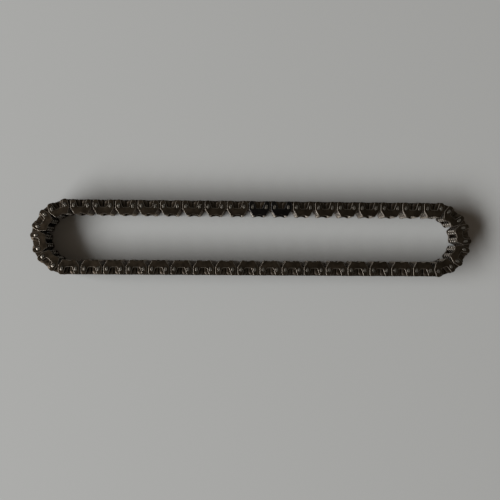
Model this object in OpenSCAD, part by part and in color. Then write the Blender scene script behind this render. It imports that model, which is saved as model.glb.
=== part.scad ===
// Silent chain: an inverted-tooth chain, closed into a loop and lying on its side.
// Guide rows and inner rows of stamped plates alternate along the loop. Each pivot is a rocker
// joint: two D-section pins, one held by each row, that roll on one another as the rows bend.
// The long pins of the guide rows are riveted over at both faces of the chain.
// +Z is up through the stack of plates, z = 0 is under the lower rivet heads, the origin is the
// middle of the loop, and the straight runs lie along X.

/* [Chain] */
// Pitch, from pivot to pivot along the chain
pitch = 6.35; // [6:0.05:7.5]
// Gap between two plates that follow one another in the same layer
row_gap = 0.95; // [0.7:0.05:1.3]
// Thickness of a toothed plate
plate_t = 1.3; // [0.9:0.05:2]
// Thickness of a guide plate
guide_t = 1; // [0.7:0.05:1.5]
// Sideways play between neighbouring plates of the stack
play = 0.06; // [0.04:0.01:0.15]

/* [Plate outline] */
// Pin line to the back edge
back_h = 3.4; // [2.9:0.05:3.9]
// Pin line to the shoulder, where the straight side ends
shoulder_h = 1.45; // [1.2:0.05:1.6]
// Pin line to the tooth tips
tooth_h = 5.1; // [4.5:0.05:5.8]
// Width across the outer corners of the two tooth tips
tooth_span = 6.8; // [6.2:0.05:7.2]
// Width of each tooth tip
tip_w = 0.65; // [0.5:0.05:0.9]
// Rounding of the tip corners
tip_r = 0.18; // [0.1:0.01:0.22]
// Pin line to the point where the two flanks of the crotch would meet
crotch_h = 0.8; // [0.5:0.05:1.2]
// Rounding at the root of the crotch
crotch_r = 0.8; // [0.5:0.05:1]
// Rounding of a toothed plate's back corners
corner_r = 2; // [1.5:0.05:2.4]

/* [Guide plate] */
// Width across the inner edge
guide_span = 7.2; // [6.6:0.05:7.8]
// Width of the hollow in the inner edge
dip_w = 4.2; // [3.4:0.1:5]
// Depth of the hollow in the inner edge
guide_dip = 0.55; // [0.4:0.05:0.7]
// Width of an ear at the back edge, beside the notch
ear_w = 2.55; // [2.2:0.05:3]
// Pin line to the root of the notch, on the side of the teeth
notch_h = 0.95; // [0.7:0.05:1.2]
// Pivot to the corner of the notch's root, along the chain
notch_wall = 1.3; // [1.1:0.05:1.6]
// Rounding at the corners of the notch's root
notch_r = 1; // [0.7:0.05:1.2]
// Rounding of an ear's outer corner
ear_r = 1.5; // [1.1:0.05:1.75]
// Rounding of an ear's inner corner
lip_r = 0.6; // [0.4:0.05:0.7]

/* [Rocker joint] */
// Radius of the round part of a pin, about the pivot
pin_r = 1.5; // [1.35:0.01:1.6]
// Depth of the flat on a pin's back, which keys it in its own row
flat_cut = 0.1; // [0.08:0.01:0.2]
// Radius of a pin's rolling face
roll_r = 2.5; // [2:0.1:3]
// Gap between the two rolling faces with the chain straight
roll_gap = 0.2; // [0.18:0.01:0.3]
// Clearance round a pin that swings in the other row's holes
swing_gap = 0.08; // [0.05:0.01:0.12]
// Clearance round a pin in the row that holds it
fit = 0.01; // [0.01:0.005:0.03]
// Height of a rivet head above the guide plate
head_h = 0.5; // [0.35:0.05:0.7]
// How far a rivet head spreads past the pin
head_flare = 0.12; // [0.06:0.02:0.2]
// Radius of the dome of a rivet head
dome_r = 2.6; // [2.3:0.1:3.5]

/* [Hidden] */
$fn = 64;
// The loop: links in each straight run, bends at each end, links in half the loop
RUN_LINKS = 34;
BENDS = 9;
HALF_LINKS = RUN_LINKS + BENDS - 1;
BEND = 180 / BENDS;
// Toothed plates across the stack, inner rows in the even layers and guide rows in the odd ones
LAYERS = 7;
// Sections that turn as one: the first link of each, round half of the loop
RUN_STARTS = [0, 6, 11, 16, 20, 27];
END_STARTS = [34, 36, 38, 40];
STARTS = concat(RUN_STARTS, END_STARTS, [HALF_LINKS]);
SIDES = [["top", "right"], ["bottom", "left"]];
function section_name(h, i) = i < len(RUN_STARTS)
    ? str(SIDES[h][0], "_", i + 1)
    : str(SIDES[h][1], "_", i + 1 - len(RUN_STARTS));
// Each section as its name, its first link and its last link
SECTIONS = [
    for (h = [0, 1]) for (i = [0 : len(STARTS) - 2])
        [section_name(h, i), STARTS[i] + h * HALF_LINKS, STARTS[i + 1] - 1 + h * HALF_LINKS]
];
// The section whose guide plates are the black timing plates
TIMING = "top_4";

// Middle of the loop to the pin line of a straight run, and to the centre of an end's curve
run_y = pitch / 2 / tan(BEND / 2);
end_x = (RUN_LINKS - 1) / 2 * pitch;
// Half the length of a plate, and the faces of the stack
half_l = pitch - row_gap / 2;
lower_z = head_h;
stack_z = lower_z + guide_t + play;
upper_z = stack_z + LAYERS * (plate_t + play);
// Pivot to the flat on a pin's back, and to the middle of the pin
flat_x = pin_r - flat_cut;
pin_x = (roll_gap / 2 + flat_x) / 2;

function layer_z(k) = stack_z + k * (plate_t + play);
function is_guide_row(j) = j % 2 == 1;

// Corner rounding: the direction from a to b, the turn at b, and the middle of the arc at b
function toward(a, b) = (b - a) / norm(b - a);
function turn(a, b, c) = acos(toward(a, b) * toward(b, c));
function arc_middle(a, b, c, r) =
    b + (toward(b, a) + toward(b, c)) / norm(toward(b, a) + toward(b, c)) * r / cos(turn(a, b, c) / 2);
function xy(p) = [p[0], p[1]];
// An outline's right half, given from its inner edge round to its back, and its mirror image
function mirrored(half) = [for (i = [len(half) - 1 : -1 : 0]) [-half[i][0], half[i][1], half[i][2]]];

// A polygon whose corners [x, y, radius], anticlockwise, are rounded by true arcs
module rounded(corners) {
    n = len(corners);
    at = [for (i = [0 : n - 1]) [xy(corners[(i + n - 1) % n]), xy(corners[i]), xy(corners[(i + 1) % n])]];
    r = [for (c = corners) c[2]];
    cut = [for (i = [0 : n - 1]) r[i] * tan(turn(at[i][0], at[i][1], at[i][2]) / 2)];
    outward = [for (p = at) cross(p[1] - p[0], p[2] - p[1]) > 0];
    difference() {
        union() {
            polygon([
                for (i = [0 : n - 1])
                    each [at[i][1] + toward(at[i][1], at[i][0]) * cut[i],
                          at[i][1] + toward(at[i][1], at[i][2]) * cut[i]]
            ]);
            for (i = [0 : n - 1]) if (outward[i])
                translate(arc_middle(at[i][0], at[i][1], at[i][2], r[i])) circle(r[i]);
        }
        for (i = [0 : n - 1]) if (!outward[i])
            translate(arc_middle(at[i][0], at[i][1], at[i][2], r[i])) circle(r[i]);
    }
}

// Everything on the near side of the line x = edge
module left_of(edge, reach) {
    translate([edge - 2 * reach, -reach]) square([2 * reach, 2 * reach]);
}

// Draws its children at the right pivot of a plate and, mirrored, at the left one
module at_pivots() {
    for (side = [0, 1]) mirror([side, 0, 0]) translate([pitch / 2, 0, 0]) children();
}

// Draws its children in link j's frame: X along the chain, +Y out of the loop, pin line at y = 0
module at_link(j) {
    half = floor(j / HALF_LINKS);
    k = j - half * HALF_LINKS;
    rotate(180 * half)
        if (k < RUN_LINKS)
            translate([k * pitch - end_x, run_y, 0]) children();
        else
            translate([end_x, 0, 0]) rotate(-BEND * (k - RUN_LINKS + 1)) translate([0, run_y, 0]) children();
}

// Section of the pin on the outer side of a pivot, grown by a margin
module pin_section(grow = 0) {
    intersection() {
        circle(pin_r + grow);
        translate([roll_gap / 2 + roll_r, 0]) circle(roll_r + grow);
        left_of(flat_x + grow, 2 * pin_r);
    }
}

// Hole of a toothed plate: round for the other row's pin to swing in, with a flat seat for its own
module rocker_hole() {
    intersection() {
        circle(pin_r + swing_gap);
        left_of(flat_x + fit, 2 * pin_r);
    }
}

module toothed_plate() {
    half = [
        [tooth_span / 2 - tip_w, -tooth_h, tip_r],
        [tooth_span / 2, -tooth_h, tip_r],
        [half_l, -shoulder_h, corner_r / 2],
        [half_l, back_h, corner_r]
    ];
    linear_extrude(plate_t) difference() {
        rounded(concat(half, mirrored(half), [[0, -crotch_h, crotch_r]]));
        at_pivots() rocker_hole();
    }
}

module guide_plate() {
    half = [
        [guide_span / 2, -tooth_h, tip_r],
        [half_l, -shoulder_h, corner_r / 2],
        [half_l, back_h, ear_r],
        [half_l - ear_w, back_h, lip_r],
        [pitch / 2 - notch_wall, -notch_h, notch_r]
    ];
    dip_r = (dip_w * dip_w / 4 + guide_dip * guide_dip) / (2 * guide_dip);
    linear_extrude(guide_t) difference() {
        rounded(concat(half, mirrored(half)));
        translate([0, guide_dip - tooth_h - dip_r]) circle(dip_r);
        at_pivots() pin_section(fit);
    }
}

// Domed rivet head, its flat side at z = 0
module rivet_head() {
    intersection() {
        linear_extrude(head_h) pin_section(head_flare);
        translate([pin_x, 0, head_h - dome_r]) sphere(dome_r);
    }
}

module long_pin() {
    translate([0, 0, lower_z]) linear_extrude(upper_z + guide_t - lower_z) pin_section();
    translate([0, 0, upper_z + guide_t]) rivet_head();
    translate([0, 0, lower_z]) mirror([0, 0, 1]) rivet_head();
}

module short_pin() {
    translate([0, 0, stack_z]) linear_extrude(upper_z - play - stack_z) pin_section();
}

// The pieces of one section s: its name, its first link and its last link
module guide_plates(s) {
    color(s[0] == TIMING ? "#17171a" : "#3a322b")
        for (j = [s[1] : s[2]]) if (is_guide_row(j))
            at_link(j) for (z = [lower_z, upper_z]) translate([0, 0, z]) guide_plate();
}

module toothed_plates(s) {
    color("#4a4138")
        for (j = [s[1] : s[2]])
            at_link(j) for (k = [is_guide_row(j) ? 1 : 0 : 2 : LAYERS - 1])
                translate([0, 0, layer_z(k)]) toothed_plate();
}

module rocker_pins(s) {
    color("#c9cbcc")
        for (j = [s[1] : s[2]]) at_link(j) at_pivots()
            if (is_guide_row(j)) long_pin();
            else short_pin();
}

for (s = SECTIONS) {
    guide_plates(s);
    toothed_plates(s);
    rocker_pins(s);
}
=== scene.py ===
# %% [markdown]
# # A silent chain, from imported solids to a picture
#
# A silent chain carries power between two toothed wheels. It has no rollers: stacks of flat stamped
# plates, each with two inward teeth, hang on paired rocker pins. The solids come from the part's own
# source, so this file gives them what solids lack: rolled edges, steel that looks stamped, oiled and
# worn, and a table, a light and a camera like those of the photograph.

import math

import bpy
import numpy as np
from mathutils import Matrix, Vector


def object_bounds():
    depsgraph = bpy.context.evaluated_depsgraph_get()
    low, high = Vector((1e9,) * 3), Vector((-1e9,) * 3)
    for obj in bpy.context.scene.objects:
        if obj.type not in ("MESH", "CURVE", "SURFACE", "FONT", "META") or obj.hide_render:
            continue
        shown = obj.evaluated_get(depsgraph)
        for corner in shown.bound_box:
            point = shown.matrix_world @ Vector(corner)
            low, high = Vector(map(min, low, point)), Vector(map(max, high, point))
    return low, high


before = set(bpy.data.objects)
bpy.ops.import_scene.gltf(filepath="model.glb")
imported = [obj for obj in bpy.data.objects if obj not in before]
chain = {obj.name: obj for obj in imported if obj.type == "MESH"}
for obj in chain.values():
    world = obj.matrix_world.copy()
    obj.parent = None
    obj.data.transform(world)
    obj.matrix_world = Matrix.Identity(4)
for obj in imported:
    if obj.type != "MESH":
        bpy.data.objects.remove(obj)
cad_low, cad_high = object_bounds()

# %% [markdown]
# ## The camera
#
# The picture was taken from almost straight above, with a short lens and the camera a little left of
# the middle. A camera could be set by eye, but its place was found from the rivet heads instead: their
# spots in the picture and their places on the chain fix one camera. The lens is written from its focal
# length in pixels of a 500 pixel frame, which is how such a fit comes out.

# %% Camera
MM = 0.001
FRAME_PX = 500
FOCAL_PX = 480
SENSOR_MM = 36
NEAREST_MM = 10
CAMERA_MM = (-10.25, -10.91, 286.96)
CAMERA_TURN_DEG = (0.844, -1.709, 0.406)

lens = bpy.data.cameras.new("photo_camera")
lens.sensor_width = SENSOR_MM
lens.lens = SENSOR_MM * FOCAL_PX / FRAME_PX
lens.clip_start = NEAREST_MM * MM
camera = bpy.data.objects.new("photo_camera", lens)
camera.location = [v * MM for v in CAMERA_MM]
camera.rotation_euler = [math.radians(v) for v in CAMERA_TURN_DEG]
bpy.context.scene.collection.objects.link(camera)
bpy.context.scene.camera = camera
print("lens", round(lens.lens, 2), "mm, camera", CAMERA_MM[2], "mm above the table")

# %% [markdown]
# ## Colours and nodes
#
# Colours are written as the hex values a painter's palette shows. The renderer counts light itself,
# so one function takes the screen's curve out of them. A second small function adds a shader node: it
# sets the node's own switches, fills its inputs, links an input when it is given a socket, and hands
# back the output that is wanted. Nodes could be joined by hand in the editor, but a written tree can
# be read here and comes out the same each time.

# %% Colour and node helpers
def linear(code):
    """sRGB hex to linear light: v / 12.92 below 0.04045, else ((v + 0.055) / 1.055) to the 2.4."""
    v = np.array([int(code[i:i + 2], 16) for i in (1, 3, 5)]) / 255
    return (*np.where(v <= 0.04045, v / 12.92, ((v + 0.055) / 1.055) ** 2.4).tolist(), 1.0)


def dimmed(code, share):
    """A share of a colour's light: each linear channel times share."""
    return (*[c * share for c in linear(code)[:3]], 1.0)


def add(tree, kind, inputs=None, out=0, **switches):
    """A new node with its switches set and its inputs filled or linked; gives back one of its outputs."""
    made = tree.nodes.new("ShaderNode" + kind)
    for name, value in switches.items():
        setattr(made, name, value)
    for socket, value in (inputs or {}).items():
        if isinstance(value, bpy.types.NodeSocket):
            tree.links.new(value, made.inputs[socket])
        else:
            made.inputs[socket].default_value = value
    return made.outputs[out]


# Places of a range node's limits: FROM and TO become LOW and HIGH, which are 0 and 1 unless set.
FROM, TO, LOW, HIGH = 1, 2, 3, 4
# Places of a mix node's two values, and of its two colours and their result.
VALUE_UNDER, VALUE_OVER = 2, 3
UNDER, OVER, MIXED = 6, 7, 2


def per_metre(size_mm):
    """Texture scale that makes one feature size_mm wide, in the scene's metres."""
    return 1 / (size_mm * MM)


print("mid grey on a screen is", round(linear("#808080")[0], 3), "in linear light")

# %% [markdown]
# ## Stamped steel
#
# Every plate is blanked from hardened carbon strip in a press. Its faces keep the strip's skin, browned
# by hardening and darkened by oil, with cloudy patches a few millimetres wide. Its side walls were
# sheared by the punch and are scored along the punch's stroke. The rolled edge between them is worn
# bare and catches the light first. The surface normal tells the three apart: upright on a face, level
# on a wall, and slanting on an edge. Paint masks by hand would do it too, but a mask worked out from
# the normal fits all 378 plates at once.

# %% Zones of a stamped plate
# Heights of the normal, |z|, at which each zone starts and at which it is full
WALL_Z, OFF_FACE_Z, OFF_WALL_Z = (0.4, 0.15), (0.99, 0.94), (0.1, 0.3)


def stamped_zones(tree):
    """Two masks from the normal's height |z|: walls where it is near 0, rolled edges between 0 and 1."""
    normal = add(tree, "TexCoord", out="Normal")
    upright = add(tree, "SeparateXYZ", {0: normal}, "Z")
    level = add(tree, "Math", {0: upright}, operation="ABSOLUTE")
    is_wall = add(tree, "MapRange", {0: level, FROM: WALL_Z[0], TO: WALL_Z[1]})
    off_face = add(tree, "MapRange", {0: level, FROM: OFF_FACE_Z[0], TO: OFF_FACE_Z[1]})
    off_wall = add(tree, "MapRange", {0: level, FROM: OFF_WALL_Z[0], TO: OFF_WALL_Z[1]})
    is_edge = add(tree, "Math", {0: off_face, 1: off_wall}, operation="MULTIPLY")
    return is_wall, is_edge


print("a wall starts", round(math.degrees(math.asin(WALL_Z[0])), 1), "degrees from upright")

# %% [markdown]
# The sprockets touch the plates only at their teeth and polish their tips and the edges of their
# flanks, while the backs keep their oil. So three more masks tell how far a point lies inside or
# outside the pin line. The pin line is a straight run and a half circle at each end, and the distance
# to such a line is short to write, so no plate needs a mask of its own.

# %% Where the teeth are polished and where oil stays
PITCH_MM, RUN_LINKS, END_BENDS = 6.35, 34, 9
PIN_LINE_MM = PITCH_MM / 2 / math.tan(math.pi / END_BENDS / 2)
END_MM = (RUN_LINKS - 1) / 2 * PITCH_MM
# Distances out from the pin line at which each zone starts and at which it is full
TIP_MM, FLANK_MM, BACK_MM = (-4.3, -4.6), (-1.8, -2.6), (2.8, 3.3)


def wear_zones(tree, spot):
    """Masks of the tips, the flanks and the backs, from the length of (|x| - straight half, or 0; y)."""
    x = add(tree, "SeparateXYZ", {0: spot}, "X")
    y = x.node.outputs["Y"]
    along = add(tree, "Math", {0: x}, operation="ABSOLUTE")
    past = add(tree, "Math", {0: along, 1: END_MM * MM}, operation="SUBTRACT")
    round_end = add(tree, "Math", {0: past, 1: 0}, operation="MAXIMUM")
    flat = add(tree, "CombineXYZ", {0: round_end, 1: y})
    reach = add(tree, "VectorMath", {0: flat}, "Value", operation="LENGTH")
    masks = []
    for start, full in (TIP_MM, FLANK_MM, BACK_MM):
        limits = {FROM: (PIN_LINE_MM + start) * MM, TO: (PIN_LINE_MM + full) * MM}
        masks.append(add(tree, "MapRange", {0: reach, **limits}))
    return masks


print("pin line", round(PIN_LINE_MM, 2), "mm from the middle of the runs")

# %% [markdown]
# The strip's skin is two browns in cloudy patches, with a slower change of tone from plate to plate.
# One noise with both in it would tie their sizes together, so two are multiplied, each at its real
# size. The gloss follows the patches, because oil lies thicker in some.

# %% Skin of the strip
PATCH_MM, TONE_MM = 2.6, 14
# The span that most of a noise lies in, and most of two noises multiplied
NOISE_SPAN, PRODUCT_SPAN = (0.3, 0.7), (0.12, 0.42)
FACE_ROUGH = (0.36, 0.54)


def strip_skin(tree, spot, face, patch):
    """Colour of a face, from patches times tone; its roughness, from the patches; and the tone."""
    cloud = add(tree, "TexNoise", {"Vector": spot, "Scale": per_metre(PATCH_MM), "Detail": 4}, "Fac")
    tone = add(tree, "TexNoise", {"Vector": spot, "Scale": per_metre(TONE_MM), "Detail": 1}, "Fac")
    both = add(tree, "Math", {0: cloud, 1: tone}, operation="MULTIPLY")
    browned = add(tree, "MapRange", {0: both, FROM: PRODUCT_SPAN[0], TO: PRODUCT_SPAN[1]})
    browns = {UNDER: linear(face), OVER: linear(patch)}
    skin = add(tree, "Mix", {0: browned, **browns}, MIXED, data_type="RGBA")
    limits = {FROM: NOISE_SPAN[0], TO: NOISE_SPAN[1], LOW: FACE_ROUGH[0], HIGH: FACE_ROUGH[1]}
    gloss = add(tree, "MapRange", {0: cloud, **limits})
    return skin, gloss, tone


print("patches", PATCH_MM, "mm wide, tone over", TONE_MM, "mm")

# %% [markdown]
# A wall keeps the marks of the punch that sheared it: fine scores, all one way. Scratches could be
# modelled, but a noise drawn out along the stroke gives the same dark lines and shallow grooves.

# %% Walls that the punch sheared
SCORE_MM, SCORE_LONG_MM = 0.3, 2.5
SCORE_DARK = 0.55


def sheared_wall(tree, spot, wall):
    """Colour of a wall and the height of its scores: a noise that is stretched along the stroke, Z."""
    stretch = (1, 1, SCORE_MM / SCORE_LONG_MM)
    along = add(tree, "Mapping", {"Vector": spot, "Scale": stretch})
    score = add(tree, "TexNoise", {"Vector": along, "Scale": per_metre(SCORE_MM), "Detail": 2}, "Fac")
    greys = {UNDER: dimmed(wall, SCORE_DARK), OVER: linear(wall)}
    sheared = add(tree, "Mix", {0: score, **greys}, MIXED, data_type="RGBA")
    return sheared, score


print("scores", SCORE_MM, "mm wide and", SCORE_LONG_MM, "mm long")

# %% [markdown]
# Edges are rubbed bare where plates meet hands, guides and sprockets, a little more on some plates
# than on others. Oil hides most of that at the backs and along the guide plates' inner edges. The edge
# mask times a wear that follows the tone, times what the oil leaves, says all this in three steps.

# %% Edges rubbed bare
# Wear follows the tone of the skin, between these spans
TONE_SPAN, WEAR_SPAN = (0.35, 0.6), (0.8, 1)
# What the oil leaves of it at the backs and along inner edges
BACK_WEAR, INNER_WEAR = 0.15, 0.3


def rubbed_edges(tree, is_edge, tone, is_back, is_inner=None):
    """Share of bare steel: the edge mask times the wear times what the oil leaves of it."""
    limits = {FROM: TONE_SPAN[0], TO: TONE_SPAN[1], LOW: WEAR_SPAN[0], HIGH: WEAR_SPAN[1]}
    worn = add(tree, "MapRange", {0: tone, **limits})
    left = add(tree, "MapRange", {0: is_back, LOW: 1, HIGH: BACK_WEAR})
    if is_inner is not None:
        left = add(tree, "MapRange", {0: is_inner, LOW: left, HIGH: INNER_WEAR})
    wear = add(tree, "Math", {0: worn, 1: left}, operation="MULTIPLY")
    return add(tree, "Math", {0: is_edge, 1: wear}, operation="MULTIPLY")


print("oil leaves", BACK_WEAR, "of the wear at the backs")

# %% [markdown]
# The steel itself lays its zones one over another: skin on the face, scores on the wall, bare steel on
# the edge. A toothed plate also has bare tips, and brighter edges on its flanks. A film of oil lies
# over it all. It dulls the metal a little and warms what is mirrored at a slant.

# %% Stamped steel
WALL_ROUGH, EDGE_ROUGH, TIP_ROUGH = 0.5, 0.45, 0.3
OILED_METAL, OIL_TINT = 0.9, "#b8a48c"
# The tumbled grain is really near 0.05 mm; it is drawn at 0.25 mm so that it shows.
GRAIN_MM, GRAIN_DEEP_MM, GRAIN_FIRM = 0.25, 0.012, 0.35


def stamped_steel(name, face, patch, wall, edge, tip=None, polish=None):
    """Face, wall and edge mixed by their masks, and for a toothed plate its tips; grain as bump."""
    made = bpy.data.materials.new(name)
    made.use_nodes = True
    tree = made.node_tree
    shader = tree.nodes["Principled BSDF"].inputs
    spot = add(tree, "TexCoord", out="Object")
    is_wall, is_edge = stamped_zones(tree)
    is_tip, is_flank, is_back = wear_zones(tree, spot)
    skin, gloss, tone = strip_skin(tree, spot, face, patch)
    sheared, score = sheared_wall(tree, spot, wall)
    rubbed = rubbed_edges(tree, is_edge, tone, is_back, None if tip else is_tip)

    colour = add(tree, "Mix", {0: is_wall, UNDER: skin, OVER: sheared}, MIXED, data_type="RGBA")
    rough = add(tree, "Mix", {0: is_wall, VALUE_UNDER: gloss, VALUE_OVER: WALL_ROUGH})
    bare = linear(edge)
    if tip:
        colour = add(tree, "Mix", {0: is_tip, UNDER: colour, OVER: linear(tip)}, MIXED, data_type="RGBA")
        rough = add(tree, "Mix", {0: is_tip, VALUE_UNDER: rough, VALUE_OVER: TIP_ROUGH})
        bare = add(tree, "Mix", {0: is_flank, UNDER: bare, OVER: linear(polish)}, MIXED, data_type="RGBA")
    colour = add(tree, "Mix", {0: rubbed, UNDER: colour, OVER: bare}, MIXED, data_type="RGBA")
    rough = add(tree, "Mix", {0: rubbed, VALUE_UNDER: rough, VALUE_OVER: EDGE_ROUGH})
    tree.links.new(colour, shader["Base Color"])
    tree.links.new(rough, shader["Roughness"])
    shader["Metallic"].default_value = OILED_METAL
    shader["Specular Tint"].default_value = linear(OIL_TINT)

    grain = add(tree, "TexNoise", {"Vector": spot, "Scale": per_metre(GRAIN_MM), "Detail": 2}, "Fac")
    height = add(tree, "Mix", {0: is_wall, VALUE_UNDER: grain, VALUE_OVER: score})
    firm = add(tree, "MapRange", {0: is_edge, LOW: GRAIN_FIRM, HIGH: 0})
    relief = {"Strength": firm, "Distance": GRAIN_DEEP_MM * MM, "Height": height}
    tree.links.new(add(tree, "Bump", relief), shader["Normal"])
    return made


# Hardened strip, oiled: brown-black with a soft sheen and pale worn edges.
guide_steel = stamped_steel("hardened_strip_steel_oiled", "#1c1711", "#2d261e", "#4a433a", "#857d73")
# The same strip deeper in the stack, and teeth that the sprockets polish. Its walls and edges are
# painted darker than the guide plates': painted shade between the plates.
tooth_steel = stamped_steel("blanked_tooth_steel_oiled_and_shaded", "#201b15", "#322a21", "#332d26", "#403a34",
                            tip="#948d84", polish="#a69f96")
# Black-oxided steel: a thin, even, nearly black skin that wears to dark grey at its edges.
timing_steel = stamped_steel("black_oxided_steel", "#0b0a0a", "#111010", "#252423", "#5c5957")
print("plate finishes:", guide_steel.name, tooth_steel.name, timing_steel.name)

# %% [markdown]
# ## Pin steel
#
# The rocker pins are drawn wire, hardened and tumbled bright. The long ones are riveted over the
# guide plates. Handling rubs the tops of their domed heads bright, while oil and dirt stay lower down,
# towards the corner with the plate; the crowns also carry a painted highlight and the lower parts
# painted shade in that corner. A painted mask could say which is which, but the height of a point
# above the plate does it for all heads, because every head stands on the same plane.

# %% Pin steel material
HEAD_MM = 0.5
# Heights above the plate at which the rubbed crown, with its painted highlight, starts and at which it is
# full
RUBBED_AND_SHEEN_MM = (0.12, 0.4)
CROWN_BARE_AND_SHEEN = 0.7
PIN_ROUGH = (0.22, 0.3)
TUMBLE_MM, TUMBLE_DEEP_MM, TUMBLE_FIRM = 0.5, 0.01, 0.08


def rubbed_and_sheen_pin_steel(name, steel, oil_and_shade):
    """Rubbed steel and a painted highlight on the crowns, by height above the plates; oil and painted
    shade below; tumbling marks all over.
    """
    made = bpy.data.materials.new(name)
    made.use_nodes = True
    tree = made.node_tree
    shader = tree.nodes["Principled BSDF"].inputs
    spot = add(tree, "TexCoord", out="Object")
    middle = (cad_low.z + cad_high.z) / 2
    plate = cad_high.z - HEAD_MM * MM - middle
    high = add(tree, "SeparateXYZ", {0: spot}, "Z")
    off = add(tree, "Math", {0: high, 1: middle}, operation="SUBTRACT")
    away = add(tree, "Math", {0: off}, operation="ABSOLUTE")
    limits = {FROM: plate + RUBBED_AND_SHEEN_MM[0] * MM, TO: plate + RUBBED_AND_SHEEN_MM[1] * MM}
    # Crown mask: rubbed wear with a painted highlight on top, and oil with painted shade towards the
    # plate.
    crown_wear_and_sheen = add(tree, "MapRange", {0: away, **limits})

    marks = add(tree, "TexNoise", {"Vector": spot, "Scale": per_metre(TUMBLE_MM), "Detail": 3}, "Fac")
    worn = add(tree, "Math", {0: marks, 1: CROWN_BARE_AND_SHEEN}, operation="ADD")
    share = add(tree, "Math", {0: crown_wear_and_sheen, 1: worn}, operation="MULTIPLY", use_clamp=True)
    colours = {UNDER: linear(oil_and_shade), OVER: linear(steel)}
    colour = add(tree, "Mix", {0: share, **colours}, MIXED, data_type="RGBA")
    limits = {FROM: NOISE_SPAN[0], TO: NOISE_SPAN[1], LOW: PIN_ROUGH[0], HIGH: PIN_ROUGH[1]}
    rough = add(tree, "MapRange", {0: marks, **limits})
    tree.links.new(colour, shader["Base Color"])
    tree.links.new(rough, shader["Roughness"])
    shader["Metallic"].default_value = 1.0
    relief = {"Strength": TUMBLE_FIRM, "Distance": TUMBLE_DEEP_MM * MM, "Height": marks}
    tree.links.new(add(tree, "Bump", relief), shader["Normal"])
    return made


# Drawn and tumbled wire: grey and glossy on the crowns, rubbed and with a painted highlight; brown lower
# down, under oil and painted shade.
pin_steel = rubbed_and_sheen_pin_steel("tumbled_pin_steel", "#5c5750", "#1a1511")
print("pin finish:", pin_steel.name)

# %% [markdown]
# ## Rolled edges
#
# A press rolls the edge of a blank over before it shears it, and tumbling rounds what is left. The
# solids have sharp edges, so modifiers round them: Weld joins the loose triangles, Bevel rounds the
# edges by an even width, and Weighted Normal keeps the broad faces flat to the eye. The solids' own
# meshes stay untouched. Bevel would rather slide its corners along the triangles than keep its width,
# and would narrow itself wherever a triangle is thin, so both habits are switched off.

# %% Finish every node
EDGE_MM = {"guide_plates": 0.15, "toothed_plates": 0.12, "rocker_pins": 0.08}
EDGE_STEPS = {"guide_plates": 3, "toothed_plates": 1, "rocker_pins": 1}
FINISH = {"guide_plates": guide_steel, "toothed_plates": tooth_steel, "rocker_pins": pin_steel}
TIMING_PLATES = "guide_plates_top_4"
SAME_POINT_MM = 0.001
# Bends sharper than this are edges; gentler ones are the facets of a curve.
EDGE_DEG = 35
BROAD_FACE_WEIGHT = 70


def round_edges(solid, width_mm, steps):
    """Weld, bevel by width_mm in so many steps, and weight the normals by face area."""
    weld = solid.modifiers.new("joined", "WELD")
    weld.merge_threshold = SAME_POINT_MM * MM
    edge = solid.modifiers.new("rolled_edge", "BEVEL")
    edge.width = width_mm * MM
    edge.segments = steps
    edge.limit_method = "ANGLE"
    edge.angle_limit = math.radians(EDGE_DEG)
    edge.use_clamp_overlap = False
    edge.loop_slide = False
    even = solid.modifiers.new("flat_to_the_eye", "WEIGHTED_NORMAL")
    even.weight = BROAD_FACE_WEIGHT


for name, solid in chain.items():
    kind = name.rsplit("_", 2)[0]
    round_edges(solid, EDGE_MM[kind], EDGE_STEPS[kind])
    finish = timing_steel if name == TIMING_PLATES else FINISH[kind]
    for slot in solid.material_slots:
        slot.material = finish
print("finished", len(chain), "nodes")

# %% [markdown]
# ## Table
#
# The chain lies on a pale grey table with a matt finish. A square sheet would do under the camera of
# the photograph, but its corners show from other sides. A round one has a rim that is level from every
# side, and its points are a circle worked out at once.

# %% Table
TABLE_RADIUS_MM = 1600
TABLE_SIDES = 128
turns = np.linspace(0, 2 * math.pi, TABLE_SIDES, endpoint=False)
rim = np.stack([np.cos(turns), np.sin(turns), 0 * turns], axis=1) * TABLE_RADIUS_MM * MM
table_mesh = bpy.data.meshes.new("table")
table_mesh.from_pydata(rim, [], [tuple(range(TABLE_SIDES))])
table = bpy.data.objects.new("table", table_mesh)
bpy.context.scene.collection.objects.link(table)

# Matt paint: pale grey with no mirror in it, so that the light falls off evenly.
table_paint = bpy.data.materials.new("matt_grey_table_paint")
table_paint.use_nodes = True
paint = table_paint.node_tree.nodes["Principled BSDF"].inputs
paint["Base Color"].default_value = linear("#a6a7a5")
paint["Roughness"].default_value = 0.9
paint["Specular IOR Level"].default_value = 0.0
table_mesh.materials.append(table_paint)
print("table", 2 * TABLE_RADIUS_MM, "mm across")

# %% [markdown]
# ## Light
#
# A wide window-like light comes in low from the left. It draws the bright left edges, the spots on the
# rivet heads and the long soft shadow inside the left end. Its watts could be found by trial. They are
# worked out instead from the share of the table's brightness that it should give, so the table renders
# about as its colour is written.

# %% Window light
KEY_SHARE = 0.89
LAMP_CELLS = 41


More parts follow.
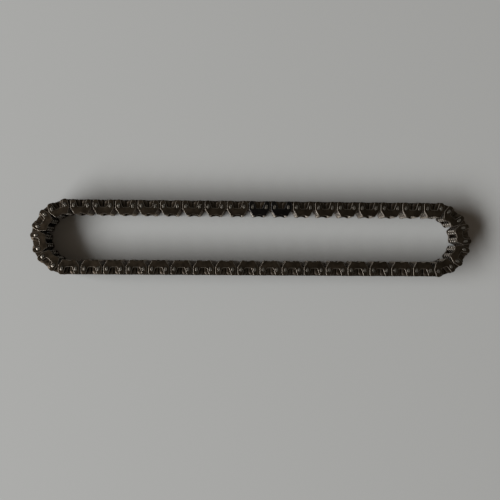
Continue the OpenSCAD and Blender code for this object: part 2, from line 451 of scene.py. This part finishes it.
def soft_light(name, heading_deg, height_deg, far_mm, wide_mm, high_mm, share):
    """An area light aimed at the origin, where it gives share of the table's brightness.

    A lamp of so many watts gives watts / pi^2 times the mean of cos(lamp) cos(table) / distance^2.
    """
    rise, turn = math.radians(height_deg), math.radians(heading_deg)
    aim = np.array([math.cos(rise) * math.cos(turn), math.cos(rise) * math.sin(turn), math.sin(rise)])
    side = np.array([-math.sin(turn), math.cos(turn), 0])
    cells = np.linspace(-0.5, 0.5, LAMP_CELLS)
    across, up = np.meshgrid(cells * wide_mm * MM, cells * high_mm * MM)
    spots = aim * far_mm * MM + across[..., None] * side + up[..., None] * np.cross(aim, side)
    far = np.linalg.norm(spots, axis=-1)
    gathered = np.mean((spots @ aim) * spots[..., 2] / far ** 4)

    lamp = bpy.data.lights.new(name, "AREA")
    lamp.shape = "RECTANGLE"
    lamp.size, lamp.size_y = wide_mm * MM, high_mm * MM
    lamp.energy = share * math.pi ** 2 / gathered
    holder = bpy.data.objects.new(name, lamp)
    holder.location = aim * far_mm * MM
    holder.rotation_euler = (math.pi / 2 - rise, 0, turn + math.pi / 2)
    bpy.context.scene.collection.objects.link(holder)
    return holder


key = soft_light("window_light", heading_deg=199, height_deg=27.5, far_mm=4000,
                 wide_mm=4800, high_mm=1500, share=KEY_SHARE)
# Daylight: white with a trace of blue.
key.data.color = linear("#fcfdff")[:3]
print("window light", round(key.data.energy, 1), "W")

# %% [markdown]
# The world stands for the room in two ways. What it sheds on things is dim and warm, and keeps the
# shadows brown. What the camera sees behind the table, and what shiny steel mirrors, is pale. Two
# worlds aren't possible, so the light path tells which of the two a ray asks for.

# %% Room
ROOM_SHARE = 0.11
world = bpy.data.worlds.new("pale_room")
world.use_nodes = True
room = world.node_tree
camera_ray = add(room, "LightPath", out="Is Camera Ray")
ray = camera_ray.node.outputs
shiny = {0: ray["Is Glossy Ray"], 1: ray["Is Transmission Ray"]}
mirrored = add(room, "Math", shiny, operation="MAXIMUM")
seen = add(room, "Math", {0: camera_ray, 1: mirrored}, operation="MAXIMUM")
# Warm light off the walls, and the pale grey that is seen.
shed_and_seen = {UNDER: dimmed("#ffe8d2", ROOM_SHARE), OVER: linear("#a9aaa8")}
air = add(room, "Mix", {0: seen, **shed_and_seen}, MIXED, data_type="RGBA")
room.links.new(air, room.nodes["Background"].inputs["Color"])
bpy.context.scene.world = world
bpy.context.scene.view_settings.view_transform = "Standard"
print("the room sheds", ROOM_SHARE, "of the table's brightness")
